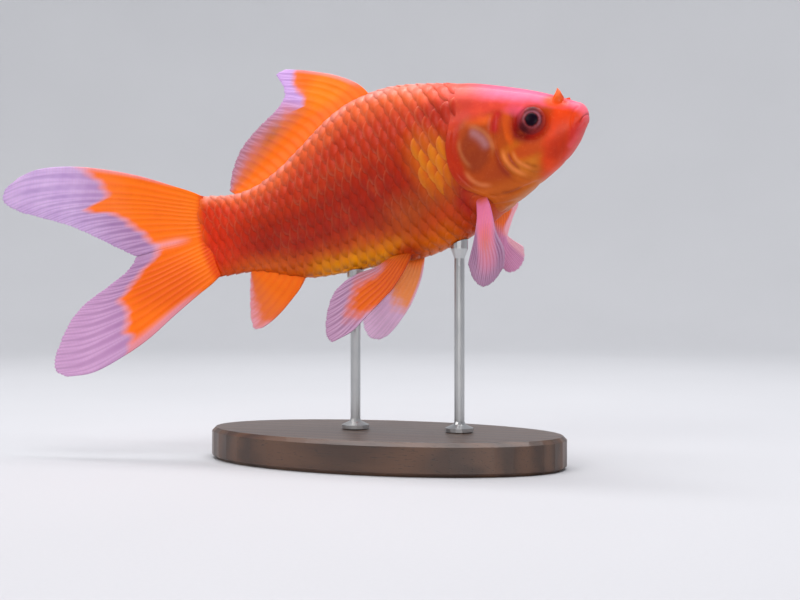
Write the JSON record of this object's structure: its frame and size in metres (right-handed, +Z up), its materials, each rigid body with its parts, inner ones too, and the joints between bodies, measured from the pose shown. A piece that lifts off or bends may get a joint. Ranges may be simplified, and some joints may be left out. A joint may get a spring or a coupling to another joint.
{
  "type": "goldfish",
  "caption": "Comet-type goldfish, a still life-size museum model swimming slightly nose-up, held over an oval base by short rods.",
  "frame": {"origin": "centre of the base's underside, on the surface the model stands on", "axes": "+Z up, +X the way the fish swims, +Y to the fish's left"},
  "size_m": [0.1945, 0.058, 0.1264],
  "materials": {
    "head_skin": "moist scaleless skin, red-orange above, golden brown below",
    "gill_cover_skin": "moist smooth skin over bone, with a silvery blue-grey patch",
    "body_skin": "overlapping round scales, red-orange with a gold belly",
    "fin_membrane": "ribbed thin membrane, orange with lilac-white margins",
    "eye": "wet gloss, black pupil in a grey-violet iris",
    "base_wood": "satin black-brown stained wood",
    "rod_steel": "satin turned steel"
  },
  "bodies": {
    "root": {"head": "head_skin", "lower_jaw": "head_skin", "gill_cover_left": "gill_cover_skin", "gill_cover_right": "gill_cover_skin", "eye_left": "eye", "eye_right": "eye", "nostril_flap_left": "head_skin", "nostril_flap_right": "head_skin", "trunk": "body_skin", "tail_stalk": "body_skin", "dorsal_fin": "fin_membrane", "caudal_fin_upper": "fin_membrane", "caudal_fin_lower": "fin_membrane", "anal_fin": "fin_membrane", "pelvic_fin_left": "fin_membrane", "pelvic_fin_right": "fin_membrane", "pectoral_fin_left": "fin_membrane", "pectoral_fin_right": "fin_membrane", "stand_base": "base_wood", "stand_rod_front": "rod_steel", "stand_rod_rear": "rod_steel"}
  },
  "joints": []
}
